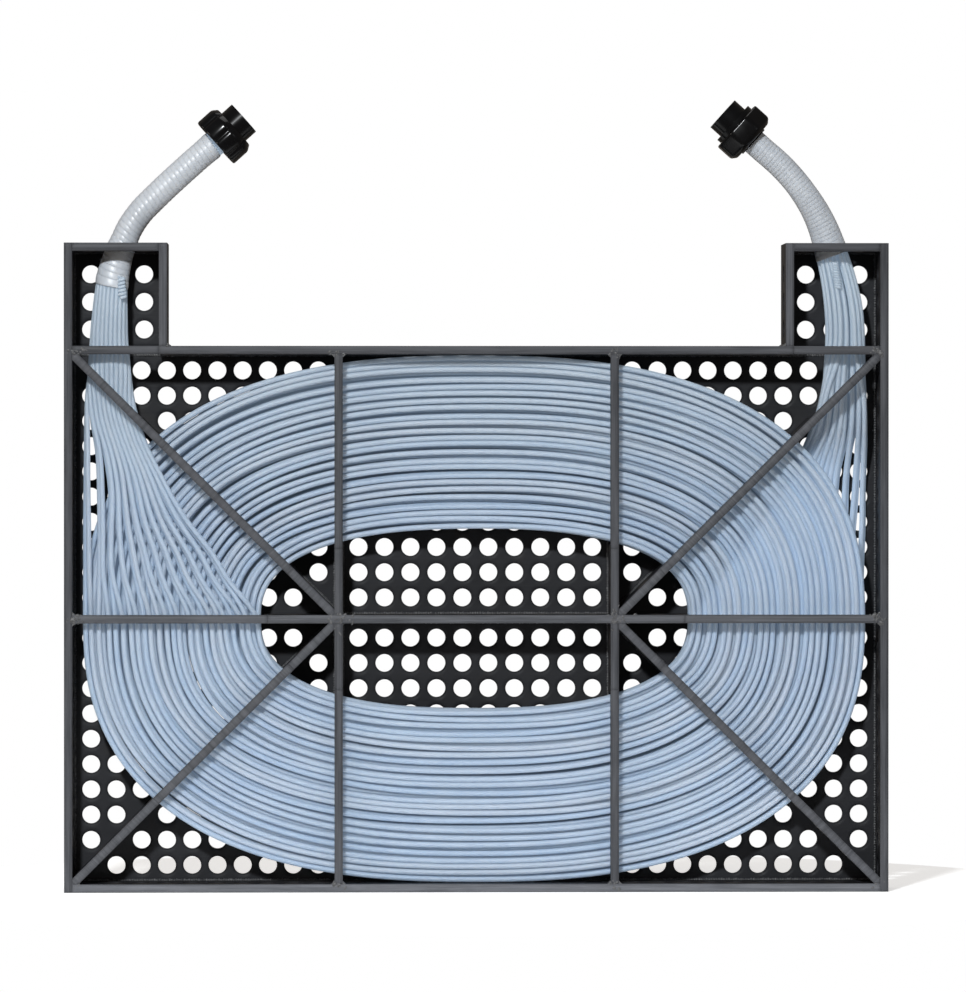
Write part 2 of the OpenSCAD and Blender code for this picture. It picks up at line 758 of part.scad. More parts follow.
back_panel();
tower_panel(LEFT);  // left_tower_panel
tower_panel(RIGHT);  // right_tower_panel
side_wall(LEFT);  // left_side_wall
side_wall(RIGHT);  // right_side_wall
bottom_wall();
top_wall();
tower_inner_wall(LEFT);  // left_tower_inner_wall
tower_inner_wall(RIGHT);  // right_tower_inner_wall
tower_cap(LEFT, left_foot, left_bend_r);  // left_tower_cap
tower_cap(RIGHT, right_foot, right_bend_r);  // right_tower_cap
middle_rib();
upright_rib(LEFT);  // left_upright_rib
upright_rib(RIGHT);  // right_upright_rib
rib_stub(LEFT, true);  // upper_left_rib_stub
rib_stub(RIGHT, true);  // upper_right_rib_stub
rib_stub(LEFT, false);  // lower_left_rib_stub
rib_stub(RIGHT, false);  // lower_right_rib_stub
upper_corner_rib(LEFT);  // upper_left_corner_rib
upper_corner_rib(RIGHT);  // upper_right_corner_rib
lower_corner_rib(LEFT);  // lower_left_corner_rib
lower_corner_rib(RIGHT);  // lower_right_corner_rib
middle_strip(LEFT);  // left_middle_strip
middle_strip(RIGHT);  // right_middle_strip
upright_strips(LEFT);  // left_upright_strips
upright_strips(RIGHT);  // right_upright_strips
diagonal_strip(LEFT, true);  // upper_left_diagonal_strip
diagonal_strip(RIGHT, true);  // upper_right_diagonal_strip
diagonal_strip(LEFT, false);  // lower_left_diagonal_strip
diagonal_strip(RIGHT, false);  // lower_right_diagonal_strip
tower_bar(LEFT);  // left_tower_bar
tower_bar(RIGHT);  // right_tower_bar
weld_beads();
winding_core();
winding_front_layer();
fan(LEFT, left_fan_y);  // left_fan
fan(RIGHT, right_fan_y);  // right_fan
left_riser();
right_riser();
left_spiral_wrap();
right_spiral_wrap();
at_left_union() left_nut();
at_left_union() left_tail();
at_left_union() left_threaded_body();
at_left_union() o_ring(left_face_z, 1);  // left_o_ring
at_left_union() tube_sheet(left_sheet_top);  // left_tube_sheet
at_right_union() right_nut();
at_right_union() right_tail();
at_right_union() right_socket_body();
at_right_union() o_ring(right_face_z, -1);  // right_o_ring
at_right_union() tube_sheet(right_sheet_top);  // right_tube_sheet
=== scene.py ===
"""An oval winding of thin plastic tubes in a welded sheet frame, with two risers that end in pipe unions."""
import math
import random

import bmesh
import bpy
import numpy as np
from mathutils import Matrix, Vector


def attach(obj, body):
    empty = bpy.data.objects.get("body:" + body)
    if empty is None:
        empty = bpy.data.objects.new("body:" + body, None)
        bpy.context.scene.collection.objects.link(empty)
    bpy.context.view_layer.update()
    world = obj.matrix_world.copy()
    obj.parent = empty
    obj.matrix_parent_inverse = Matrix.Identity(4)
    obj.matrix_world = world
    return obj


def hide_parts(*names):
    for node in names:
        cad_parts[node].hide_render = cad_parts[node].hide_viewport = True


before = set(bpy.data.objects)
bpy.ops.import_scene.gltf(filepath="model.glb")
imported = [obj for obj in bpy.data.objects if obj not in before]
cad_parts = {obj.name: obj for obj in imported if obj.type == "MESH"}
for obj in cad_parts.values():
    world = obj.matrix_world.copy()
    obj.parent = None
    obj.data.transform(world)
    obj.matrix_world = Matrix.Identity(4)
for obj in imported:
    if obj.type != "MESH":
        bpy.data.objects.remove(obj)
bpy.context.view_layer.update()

# ---------------------------------------------------------------------------
# Camera, far in front of the coil, a little left of its middle, with a long lens turned back onto it.
# ---------------------------------------------------------------------------
camera = bpy.data.objects.new("camera", bpy.data.cameras.new("camera"))
camera.location = (-0.140, -6.5, 0.430)
camera_aim = Vector((0.006, -0.035, 0.3845))
camera.rotation_euler = (camera_aim - camera.location).to_track_quat("-Z", "Y").to_euler()
camera.data.lens = 242.0
camera.data.sensor_width = 36
camera.data.clip_end = 60
bpy.context.scene.collection.objects.link(camera)
bpy.context.scene.camera = camera
bpy.context.scene.view_settings.view_transform = "Standard"

# ---------------------------------------------------------------------------
# Short ways to write a material: nodes with their values, and the few kinds that come up again and again.
# Most of them take node outputs or plain values, and give back the output that goes on.
# ---------------------------------------------------------------------------


def add(tree, kind, **values):
    """A new node, with its properties and its inputs' values by name."""
    node = tree.nodes.new(kind)
    for name, value in values.items():
        if hasattr(node, name):
            setattr(node, name, value)
        else:
            node.inputs[name.replace("_", " ")].default_value = value
    return node


def plain_material(name):
    """A new material, with its tree and its Principled shader."""
    material = bpy.data.materials.new(name)
    material.use_nodes = True
    return material, material.node_tree, material.node_tree.nodes["Principled BSDF"]


def own_place(tree):
    """The object's own coordinates, so that a pattern stays on its piece when the piece moves."""
    return add(tree, "ShaderNodeTexCoord").outputs["Object"]


def mapped(tree, place, **values):
    node = add(tree, "ShaderNodeMapping", **values)
    tree.links.new(place, node.inputs["Vector"])
    return node.outputs[0]


def axes(tree, vector):
    """The node whose outputs X, Y and Z are the parts of a vector."""
    node = add(tree, "ShaderNodeSeparateXYZ")
    tree.links.new(vector, node.inputs[0])
    return node.outputs


def noise(tree, place, scale, detail, roughness=0.5, distortion=0.0):
    node = add(tree, "ShaderNodeTexNoise", Scale=scale, Detail=detail, Roughness=roughness,
               Distortion=distortion)
    tree.links.new(place, node.inputs["Vector"])
    return node.outputs["Fac"]


def ranged(tree, value, low, high, to_low=0.0, to_high=1.0):
    """A value carried from one range to another, and held at its ends."""
    node = add(tree, "ShaderNodeMapRange", From_Min=low, From_Max=high, To_Min=to_low, To_Max=to_high)
    tree.links.new(value, node.inputs["Value"])
    return node.outputs["Result"]


def ramp(tree, value, dark, light, low=0.0, high=1.0):
    """A colour that goes from dark to light as a value goes from low to high."""
    node = add(tree, "ShaderNodeValToRGB")
    for stop, place, colour in zip(node.color_ramp.elements, (low, high), (dark, light)):
        stop.position, stop.color = place, (*colour, 1)
    tree.links.new(value, node.inputs["Fac"])
    return node.outputs["Color"]


def maths(tree, operation, *values):
    node = add(tree, "ShaderNodeMath", operation=operation)
    for socket, value in zip(node.inputs, values):
        if isinstance(value, float):
            socket.default_value = value
        else:
            tree.links.new(value, socket)
    return node.outputs[0]


def blended(tree, share, under, over):
    """One colour laid over another by a share. Either of them may be a plain colour."""
    node = add(tree, "ShaderNodeMix", data_type="RGBA")
    tree.links.new(share, node.inputs["Factor"])
    for socket, colour in (("A", under), ("B", over)):
        if isinstance(colour, tuple):
            node.inputs[socket].default_value = (*colour, 1)
        else:
            tree.links.new(colour, node.inputs[socket])
    return node.outputs["Result"]


def bumped(tree, height, strength, distance):
    node = add(tree, "ShaderNodeBump", Strength=strength, Distance=distance)
    tree.links.new(height, node.inputs["Height"])
    return node


def dress(names, finish):
    """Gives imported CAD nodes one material."""
    for name in names:
        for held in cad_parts[name].material_slots:
            held.material = finish


# ---------------------------------------------------------------------------
# Plain pale floor under the coil, a white room with a warm bounce, and studio light: a cool key high
# on the left, weak ones on the right and above, and a low one from the far left.
# ---------------------------------------------------------------------------
room = bpy.data.worlds.new("white room")
room.use_nodes = True
room_light = room.node_tree.nodes["Background"]
room_light.inputs["Strength"].default_value = 0.17
room_light.inputs["Color"].default_value = (1, 0.88, 0.76, 1)
seen_room = add(room.node_tree, "ShaderNodeBackground", Color=(1, 1, 1, 1), Strength=1.0)
rays = add(room.node_tree, "ShaderNodeLightPath")
either = add(room.node_tree, "ShaderNodeMixShader")
room.node_tree.links.new(rays.outputs["Is Camera Ray"], either.inputs[0])
room.node_tree.links.new(room_light.outputs[0], either.inputs[1])
room.node_tree.links.new(seen_room.outputs[0], either.inputs[2])
room.node_tree.links.new(either.outputs[0], room.node_tree.nodes["World Output"].inputs["Surface"])
bpy.context.scene.world = room


def studio_light(name, place, aim, size, watts, colour):
    light = bpy.data.objects.new(name, bpy.data.lights.new(name, "AREA"))
    light.data.shape = "DISK"
    light.data.size = size
    light.data.energy = watts
    light.data.color = colour
    light.location = place
    light.rotation_euler = (Vector(aim) - Vector(place)).to_track_quat("-Z", "Y").to_euler()
    bpy.context.scene.collection.objects.link(light)


studio_light("key", (-0.85, -4.2, 2.4), (0, 0, 0.35), 0.3, 206, (0.94, 0.975, 1.0))
studio_light("fill", (2.6, -3.4, 1.2), (0, 0, 0.3), 2.0, 8, (0.92, 0.96, 1))
studio_light("top", (0.3, 0.4, 3.2), (0, 0, 0.3), 1.6, 14, (1, 1, 1))
studio_light("side", (-3.2, -1.5, 1.1), (0.35, 0, 0.45), 0.8, 18, (1, 0.92, 0.84))

floor_material, floor_tree, floor_shader = plain_material("pale floor")
floor_tone = ranged(floor_tree, noise(floor_tree, own_place(floor_tree), 3.0, 2.0), 0.0, 1.0, 0.88, 0.93)
floor_tree.links.new(floor_tone, floor_shader.inputs["Base Color"])
floor_shader.inputs["Roughness"].default_value = 0.8
floor_shader.inputs["Emission Color"].default_value = (1, 1, 1, 1)
floor_shader.inputs["Emission Strength"].default_value = 0.53
floor_r, floor_sides = 0.6, 96
floor_turns = [k / (floor_sides / 2) * math.pi for k in range(floor_sides)]
floor_mesh = bpy.data.meshes.new("floor")
floor_mesh.from_pydata([(floor_r * math.cos(a), floor_r * math.sin(a), 0) for a in floor_turns], [],
                       [tuple(range(floor_sides))])
floor = bpy.data.objects.new("floor", floor_mesh)
floor_mesh.materials.append(floor_material)
bpy.context.scene.collection.objects.link(floor)

# ---------------------------------------------------------------------------
# The frame: dark grey polypropylene sheet, 8 mm thick, sawn to size, drilled and hot-air welded. Faces
# are smooth and dark; sawn front edges are paler, scraped lengthwise, and polished on their corners.
# ---------------------------------------------------------------------------
front_y = -0.035  # the frame's front plane, in metres like every size of the frame below


def sheet_finish(name, lengthwise, pale):
    """Sheet whose sawn front edges are scraped along one angle from the X axis, seen from the front."""
    material, tree, shader = plain_material(name)
    place = own_place(tree)
    facing = axes(tree, add(tree, "ShaderNodeNewGeometry").outputs["True Normal"])
    near_front = ranged(tree, axes(tree, place)["Y"], front_y + 0.0020, front_y + 0.0005)
    sawn = maths(tree, "MULTIPLY", maths(tree, "LESS_THAN", facing["Y"], -0.9), near_front)

    turned = mapped(tree, place, Rotation=(0, -math.radians(lengthwise), 0))
    scrape = noise(tree, mapped(tree, turned, Scale=(9, 600, 620)), 1.0, 5.0, 0.65)
    smear = noise(tree, mapped(tree, turned, Scale=(14, 60, 150)), 1.0, 3.0, 0.6, 0.3)

    face = ramp(tree, noise(tree, place, 7.0, 4.0, 0.6), (0.0142, 0.0147, 0.0168), (0.0218, 0.0225, 0.0256),
                0.3, 0.7)
    dust = ranged(tree, noise(tree, place, 16.0, 6.0, 0.7, 0.6), 0.56, 0.80, 0.0, 0.45)
    dusty_face = blended(tree, dust, face, (0.034, 0.029, 0.023))
    marks = maths(tree, "MULTIPLY_ADD", scrape, 0.55, maths(tree, "MULTIPLY", smear, 0.45))
    edge = ramp(tree, marks, (0.033 * pale, 0.035 * pale, 0.040 * pale),
                (0.122 * pale, 0.126 * pale, 0.139 * pale), 0.30, 0.74)
    tree.links.new(blended(tree, sawn, dusty_face, edge), shader.inputs["Base Color"])
    tree.links.new(ranged(tree, smear, 0.3, 0.7, 0.36, 0.52), shader.inputs["Roughness"])
    shader.inputs["Specular IOR Level"].default_value = 0.13

    rounded = add(tree, "ShaderNodeBevel", samples=6, Radius=0.0060)
    fine = bumped(tree, scrape, 0.28, 0.0004)
    tree.links.new(rounded.outputs["Normal"], fine.inputs["Normal"])
    tree.links.new(fine.outputs["Normal"], shader.inputs["Normal"])
    return material


dress(("back_panel", "left_tower_panel", "right_tower_panel", "top_wall", "left_tower_cap", "right_tower_cap",
       "left_tower_bar", "right_tower_bar"), sheet_finish("sheet cut across", 0, 0.92))
dress(("left_side_wall", "right_side_wall", "left_upright_rib", "right_upright_rib", "left_upright_strips",
       "right_upright_strips"), sheet_finish("sheet cut upright", 90, 0.86))
dress(("bottom_wall",), sheet_finish("sheet planed across", 0, 1.5))
dress(("middle_rib", "left_middle_strip", "right_middle_strip"),
      sheet_finish("sheet scraped across", 0, 1.15))
dress(("left_tower_inner_wall", "right_tower_inner_wall"), sheet_finish("sheet scraped upright", 90, 1.15))
dress(("upper_right_rib_stub", "lower_left_rib_stub", "upper_right_corner_rib", "lower_left_corner_rib",
       "upper_right_diagonal_strip", "lower_left_diagonal_strip"), sheet_finish("sheet cut rising", 45, 1.0))
dress(("upper_left_rib_stub", "lower_right_rib_stub", "upper_left_corner_rib", "lower_right_corner_rib",
       "upper_left_diagonal_strip", "lower_right_diagonal_strip"),
      sheet_finish("sheet cut falling", -45, 1.0))

# ---------------------------------------------------------------------------
# Welds: rough runs of melted rod in the corners of the sheets, and smeared lumps where front strips
# meet a wall or each other. The rod is the sheet's own plastic, glossier where it flowed.
# ---------------------------------------------------------------------------


def plain_mesh(holder, name, material):
    """The evaluated geometry of a holder as a plain mesh object, with the holder taken away."""
    done = bpy.data.meshes.new_from_object(holder.evaluated_get(bpy.context.evaluated_depsgraph_get()))
    bpy.data.objects.remove(holder)
    done.name = name
    if not done.materials:
        done.materials.append(material)
    made = bpy.data.objects.new(name, done)
    bpy.context.scene.collection.objects.link(made)
    return made


def holder_with(name, points, edges, tree, inputs, **lists):
    """An object of bare points and edges, named values on its points, and a geometry tree over them."""
    mesh = bpy.data.meshes.new(name)
    mesh.from_pydata(points, edges, [])
    for title, values in lists.items():
        layer = mesh.attributes.new(title, "FLOAT", "POINT")
        layer.data.foreach_set("value", values)
    holder = bpy.data.objects.new(name, mesh)
    bpy.context.scene.collection.objects.link(holder)
    modifier = holder.modifiers.new("tree", "NODES")
    modifier.node_group = tree
    for item in tree.interface.items_tree:
        if item.name in inputs:
            modifier[item.identifier] = inputs[item.name]
    return holder


def geometry_tree(name, *sizes):
    """A geometry tree with named number inputs, and its group input and output nodes."""
    tree = bpy.data.node_groups.new(name, "GeometryNodeTree")
    tree.interface.new_socket("Geometry", in_out="INPUT", socket_type="NodeSocketGeometry")
    for title, kind in sizes:
        tree.interface.new_socket(title, in_out="INPUT", socket_type=kind)
    tree.interface.new_socket("Geometry", in_out="OUTPUT", socket_type="NodeSocketGeometry")
    return tree, tree.nodes.new("NodeGroupInput"), tree.nodes.new("NodeGroupOutput")


weld_material, weld_tree, weld_shader = plain_material("melted rod")
weld_cloud = noise(weld_tree, own_place(weld_tree), 260.0, 5.0, 0.7)
weld_tone = ramp(weld_tree, weld_cloud, (0.036, 0.037, 0.040), (0.110, 0.110, 0.112), 0.35, 0.72)
weld_bump = bumped(weld_tree, weld_cloud, 0.6, 0.0012)
weld_tree.links.new(weld_tone, weld_shader.inputs["Base Color"])
weld_tree.links.new(weld_bump.outputs["Normal"], weld_shader.inputs["Normal"])
weld_shader.inputs["Roughness"].default_value = 0.38


def lump_tree(name, segments, rings, smallest, largest, turned, in_runs):
    """A geometry tree that sets melted lumps of random size and turn on points, or along runs."""
    run_sizes = [("Step", "NodeSocketFloat")] if in_runs else []
    tree, given, done = geometry_tree(name, *run_sizes, ("Lump", "NodeSocketFloat"),
                                      ("Seed", "NodeSocketInt"))
    link = tree.links.new
    lump = add(tree, "GeometryNodeMeshUVSphere", Segments=segments, Rings=rings)
    placed = add(tree, "GeometryNodeInstanceOnPoints")
    if in_runs:
        line = add(tree, "GeometryNodeMeshToCurve")
        steps = add(tree, "GeometryNodeResampleCurve", mode="LENGTH")
        link(given.outputs["Geometry"], line.inputs[0])
        link(line.outputs[0], steps.inputs["Curve"])
        link(given.outputs["Step"], steps.inputs["Length"])
        link(steps.outputs[0], placed.inputs["Points"])
    else:
        link(given.outputs["Geometry"], placed.inputs["Points"])
    link(given.outputs["Lump"], lump.inputs["Radius"])
    link(lump.outputs["Mesh"], placed.inputs["Instance"])
    for socket, low, high in (("Scale", smallest, largest), ("Rotation", *turned)):
        chosen = add(tree, "FunctionNodeRandomValue", data_type="FLOAT_VECTOR")
        chosen.inputs[0].default_value, chosen.inputs[1].default_value = low, high
        link(given.outputs["Seed"], chosen.inputs["Seed"])
        link(chosen.outputs[0], placed.inputs[socket])
    real = add(tree, "GeometryNodeRealizeInstances")
    smooth = add(tree, "GeometryNodeSetShadeSmooth")
    coat = add(tree, "GeometryNodeSetMaterial", Material=weld_material)
    link(placed.outputs[0], real.inputs[0])
    link(real.outputs[0], smooth.inputs[0])
    link(smooth.outputs[0], coat.inputs["Geometry"])
    link(coat.outputs[0], done.inputs[0])
    return tree


run_tree = lump_tree("weld run", 7, 5, (0.75, 0.75, 0.75), (1.3, 1.3, 1.3),
                     turned=((0, 0, 0), (3.1, 3.1, 3.1)), in_runs=True)
dot_tree = lump_tree("weld lumps", 8, 6, (0.6, 0.25, 0.4), (1.9, 0.6, 1.2),
                     turned=((-0.2, -3, -0.2), (0.2, 3, 0.2)), in_runs=False)

panel_y, half_sheet = 0.027, 0.004  # the back panel's inner face, and half the sheet's thickness
inner_x, crossing_x = 0.392, 0.134  # the side walls' inner faces and the upright ribs
mid_z, wall_rise = 0.265, 0.257  # the middle rib, and the bottom and top walls' distance from it
corner = Vector((0.258, 0, 0.257)).normalized()  # the way the diagonal ribs run
runs = []
for side in (-1, 1):
    for up in (-1, 1):
        wall_z = mid_z + up * wall_rise
        for edge in (-half_sheet, half_sheet):  # ribs, where they stand on the panel
            rib_x = side * crossing_x + edge
            runs.append([(rib_x, panel_y, mid_z + up * half_sheet), (rib_x, panel_y, mid_z + up * 0.083)])
            sideways = Vector((-corner.z * side, 0, corner.x * up)) * edge
            start = Vector((side * crossing_x, panel_y, mid_z)) + sideways
            outwards = Vector((corner.x * side, 0, corner.z * up))
            runs.append([tuple(start + outwards * t) for t in (0.012, 0.100)])
        runs.append([(side * 0.13, panel_y, mid_z + up * half_sheet), (0, panel_y, mid_z + up * half_sheet)])
        runs.append([(side * inner_x, panel_y, mid_z + up * 0.0045),
                     (side * inner_x, panel_y, wall_z - up * 0.001)])
        runs.append([(side * (inner_x - 0.001), panel_y, wall_z), (0, panel_y, wall_z)])
    for x in (0.308, inner_x):  # inside the towers
        runs.append([(side * x, panel_y, 0.532), (side * x, panel_y, 0.621)])
    runs.append([(side * 0.309, panel_y, 0.622), (side * 0.391, panel_y, 0.622)])
    runs.append([(side * 0.2995, y, 0.5303) for y in (-0.034, 0.034)])  # outside, at the tower's foot
run_points = [place for run in runs for place in run]
run_edges = [(2 * k, 2 * k + 1) for k in range(len(runs))]

# Lumps: place, how many and how far they scatter. Only those that fall on a front edge are kept, and on
# the left wall only those on a level edge.
chance = random.Random(11)
lumps, blobs = [], []
for side in (-1, 1):
    joints = [(inner_x - 0.002, mid_z, 50, 0.0040), (inner_x - 0.003, 0.5245, 70, 0.0046),
              (crossing_x, mid_z, 80, 0.0062), (crossing_x, 0.5235, 24, 0.0032),
              (crossing_x, 0.0065, 24, 0.0032), (inner_x - 0.006, 0.013, 22, 0.0036),
              (inner_x - 0.009, 0.514, 18, 0.0034)]
    for x, z, count, spread in joints:
        bar_x = 0.396 if side * x > 0.2 else crossing_x
        bar_z = min((0.004, mid_z, 0.526), key=lambda b: abs(b - z))
        for _ in range(count):
            lump_x, lump_z = side * x + chance.gauss(0, spread), z + chance.gauss(0, spread * 0.8)
            on_edge = min(abs(lump_x - side * bar_x), abs(lump_z - bar_z)) < half_sheet
            if on_edge and abs(lump_x) < 0.3975 and 0.0020 < lump_z < 0.5280:
                lumps.append((lump_x, chance.uniform(front_y + 0.0004, front_y + 0.0012), lump_z))
    for x, z, count in ((inner_x - 0.0005, 0.5245, 7), (crossing_x, mid_z, 5), (inner_x + 0.001, mid_z, 4)):
        for _ in range(count):
            blobs.append((side * (x + chance.uniform(-0.0035, 0.0015)), front_y + 0.0014,
                          z + chance.uniform(-0.0025, 0.0015)))
for name, points, edges, tree, inputs in (
        ("weld_runs", run_points, run_edges, run_tree, {"Step": 0.0024, "Lump": 0.0017, "Seed": 4}),
        ("weld_lumps", lumps, [], dot_tree, {"Lump": 0.0018, "Seed": 8}),
        ("weld_blobs", blobs, [], dot_tree, {"Lump": 0.0034, "Seed": 3})):
    weld = plain_mesh(holder_with(name + "_holder", points, edges, tree, inputs), name, weld_material)
    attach(weld, "frame")
dress(("weld_beads",), weld_material)

# ---------------------------------------------------------------------------
# The tubes: 24 unbroken lengths of pale-blue plastic tube, 4.8 mm outside, drawn thicker in the winding
# and thinner in the risers so that both read as full. Each leaves the left union, comes down through the
# left tower, spreads in front of the winding, runs six and a half turns of the oval from front to back,
# and goes up behind it to the right tower and the right union.
# ---------------------------------------------------------------------------


def tube_finish(name, deep, light):
    """Slightly translucent tube, clouded from a deep to a light tone, and paler higher up, in the fans and
    risers. A weak painted glow stands for the light that soaks through from behind and lifts the shade
    between the tubes."""
    material, tree, shader = plain_material(name)
    place = own_place(tree)
    along = axes(tree, place)
    cloud, fleck = noise(tree, place, 5.0, 3.0, 0.55), noise(tree, place, 42.0, 4.0, 0.6)
    marks = maths(tree, "MULTIPLY_ADD", cloud, 0.6, maths(tree, "MULTIPLY", fleck, 0.4))
    tone = ramp(tree, marks, deep, light, 0.32, 0.70)
    # higher up, into the fans and risers, the tubes are drawn paler, and the same share raises their painted
    # glow below
    upper_pale_and_glow = ranged(tree, along["Z"], 0.36, 0.62)
    tree.links.new(blended(tree, upper_pale_and_glow, tone, (0.360, 0.415, 0.465)), shader.inputs["Base Color"])
    tree.links.new(ranged(tree, fleck, 0.3, 0.7, 0.40, 0.56), shader.inputs["Roughness"])
    shader.inputs["Subsurface Weight"].default_value = 1.0
    shader.inputs["Subsurface Radius"].default_value = (1.0, 0.9, 0.85)
    shader.inputs["Subsurface Scale"].default_value = 0.010
    shader.inputs["Specular IOR Level"].default_value = 0.35

    # painted glow, stronger on the front tubes than on the deep ones, for light that soaks through the tubes
    front_glow = ranged(tree, along["Y"], -0.020, 0.002, 0.110, 0.025)
    # painted glow on the bare tubes near the unions, which lifts the shade between them
    bare_end_glow = ranged(tree, along["Z"], 0.690, 0.712, 0.0, 0.10)
    # painted glow that grows higher up and at the bare ends
    upper_glow = maths(tree, "MULTIPLY_ADD", upper_pale_and_glow, 0.155, bare_end_glow)
    # painted glow: where a fan of tubes and the winding lie on each other, the deeper tubes glow more, so the
    # shade between the tubes reads paler
    overlap_glow = ranged(tree, along["Y"], -0.018, -0.008, 0.11, 0.24)
    outward = maths(tree, "MULTIPLY_ADD", along["Z"], -0.72, maths(tree, "ABSOLUTE", along["X"]))
    over = ranged(tree, outward, 0.0092, 0.0230)
    above, below = ranged(tree, along["Z"], 0.262, 0.268), ranged(tree, along["Z"], 0.455, 0.410)
    behind = ranged(tree, along["X"], -0.05, 0.05, 0.35, 1.0)  # the left fan is in front
    for share in (over, above, below, behind):
        overlap_glow = maths(tree, "MULTIPLY", overlap_glow, share)
    # the tube's painted glow: the strongest of the three glows above
    glow = maths(tree, "MAXIMUM", maths(tree, "MAXIMUM", front_glow, upper_glow), overlap_glow)
    shader.inputs["Emission Color"].default_value = (0.54, 0.70, 0.88, 1)
    tree.links.new(glow, shader.inputs["Emission Strength"])
    return material


tube_tones = [tube_finish("pale blue tube", (0.280, 0.353, 0.458), (0.353, 0.416, 0.500)),
              tube_finish("faded blue tube", (0.300, 0.363, 0.453), (0.369, 0.421, 0.495)),
              tube_finish("deeper blue tube", (0.258, 0.339, 0.458), (0.327, 0.402, 0.500))]

# Sizes from here on are in millimetres until a mesh is made
TUBES, STEPS, turns_made = 24, 360, 6.5  # STEPS: places worked out to the turn
tube_r, fan_r, thin_r = 2.72, 2.50, 2.02  # as drawn in the winding, in a fan and in a riser
middle_z, tower_foot = 265, 530  # heights over the floor
riser_x = 361.2  # from the frame's middle to a riser's
first_row, row_width, last_row, least = 2.7, 167.6, 170.1, 5.47  # tubes' middles, outwards from the window
window_x, window_z = 208.9, 89.8  # half sizes of the window in the winding
oval_x, oval_z, oval_power = 168.0, 164.5, 2.47  # what the winding adds to them, and how square its turns are


def ease(x):
    x = min(1.0, max(0.0, x))
    return x * x * (3 - 2 * x)


def mix(a, b, t):
    return a + (b - a) * t


# Each tube's distance from the window at each place of each turn: even rows that swing and drift a little
wander = random.Random(5)
waves = [[(wander.uniform(0.25, 0.45), f + wander.uniform(-0.02, 0.02), wander.uniform(0, 2 * math.pi))
          for f in (1, 2, 2.63)] for _ in range(TUBES)]
lag = [0.05 * math.sin(0.8 * i + 1.0) + 0.03 * math.sin(0.37 * i) for i in range(TUBES)]
turn_grid = np.arange(0, int(turns_made * STEPS) + 1) / STEPS
swing = np.clip(1.5 * np.cos(math.pi * (turn_grid[:, None] - 0.32 + np.array(lag)[None, :])), -1, 1)
drift = sum(np.array([[w[k][0] * np.sin(2 * math.pi * w[k][1] * t + w[k][2]) for w in waves]
                      for t in turn_grid]) for k in range(3))
row = first_row + row_width * np.arange(TUBES)[None, :] / (TUBES - 1) + 1.3 * swing + 2.8 * drift
row += 3.6 * np.clip((turn_grid[:, None] - 3.9) / 0.3, 0, 1)  # the last turns close the gaps of the others
for i in range(1, TUBES):  # outwards, then inwards from the outermost: no tube runs into its neighbour
    row[:, i] = np.maximum(row[:, i], row[:, i - 1] + least)
row[:, -1] = np.minimum(row[:, -1], last_row)
for i in range(TUBES - 2, -1, -1):
    row[:, i] = np.minimum(row[:, i], row[:, i + 1] - least)
row = np.maximum(row, first_row + least * np.arange(TUBES)[None, :])
smoothing = np.ones(25) / 25
for i in range(TUBES):
    row[:, i] = np.convolve(np.pad(row[:, i], 12, mode="edge"), smoothing, mode="valid")


def winding_point(i, turn):
    """A tube's place in the winding, from the left middle (turn 0) down and round."""
    angle = math.pi + 2 * math.pi * turn
    v = (row[int(round(turn * STEPS)), i] - 2.4) / 168.2
    a, b = window_x + oval_x * v, window_z + oval_z * v
    c, s = math.cos(angle), math.sin(angle)
    x = a * math.copysign(abs(c) ** (2 / oval_power), c)
    x -= 3.4 * ease(-x / 260)
    z = middle_z + b * math.copysign(abs(s) ** (2 / oval_power), s)
    layer = int(turn)
    part = turn - layer
    y = -19.9 + 5.4 * (layer + ease(part / 0.3))  # each turn drops behind the one before it
    y += 4.7 * ease((part - 0.68) / 0.10) * (1 - ease((part - 0.945) / 0.055))  # room for the left fan
    return x, y + 0.12 * math.sin(2 * math.pi * 0.9 * turn + i), z


def thinned(line, reach=13.0, bend=3.4):
    """Keeps the points of a dense line that its length and its turning call for."""
    line = np.array(line)
    step = np.diff(line, axis=0)
    length = np.linalg.norm(step, axis=1)
    unit = step / length[:, None]
    turned = np.degrees(np.arccos(np.clip((unit[1:] * unit[:-1]).sum(1), -1, 1)))
    need = np.hypot(length / reach, np.append(0, turned) / bend)
    total = np.append(0, np.cumsum(need))
    wanted = np.linspace(0, total[-1], int(total[-1]) + 2)
    return np.column_stack([np.interp(wanted, total, line[:, k]) for k in range(3)])


# By side, -1 for the left: a riser's straight foot and its bend's radius, as in the CAD, and how far its
# tubes lean outwards (second row) at some lengths from the tower's foot (first row)
RISER_BENDS = {-1: (50, 114), 1: (16, 230)}
SWAY = {-1: ((0, 29, 59, 85, 108, 120, 132, 146, 160, 175, 189, 214, 238, 262),
             (-3.5, -4.7, -6.1, -6.3, -5.1, -3.1, -1.8, -0.3, 0.4, 0.9, 1.1, 1.1, 0.5, 0)),
        1: ((0, 58, 84, 96, 108, 118, 130, 142, 166, 178, 192, 214, 240),
            (-1.0, -2.2, -2.0, -1.6, -0.7, 0.1, 0.8, 1.2, 1.4, 1.3, 1.0, 0.2, 0))}


def riser_path(s, side):
    """Middle of a riser and the direction across it in the frame's plane, s from the tower's foot."""
    foot, bend_r = RISER_BENDS[side]
    arc = bend_r * math.radians(48)
    a = math.radians(min(48, max(0, math.degrees((s - foot) / bend_r))))
    on = max(0, s - foot - arc)
    x = riser_x - bend_r * (1 - math.cos(a)) - on * math.sin(a)
    z = tower_foot + min(s, foot) + bend_r * math.sin(a) + on * math.cos(a)
    lean = float(np.interp(s, *SWAY[side]))
    return x + lean * math.cos(a), z + lean * math.sin(a), math.cos(a), math.sin(a)


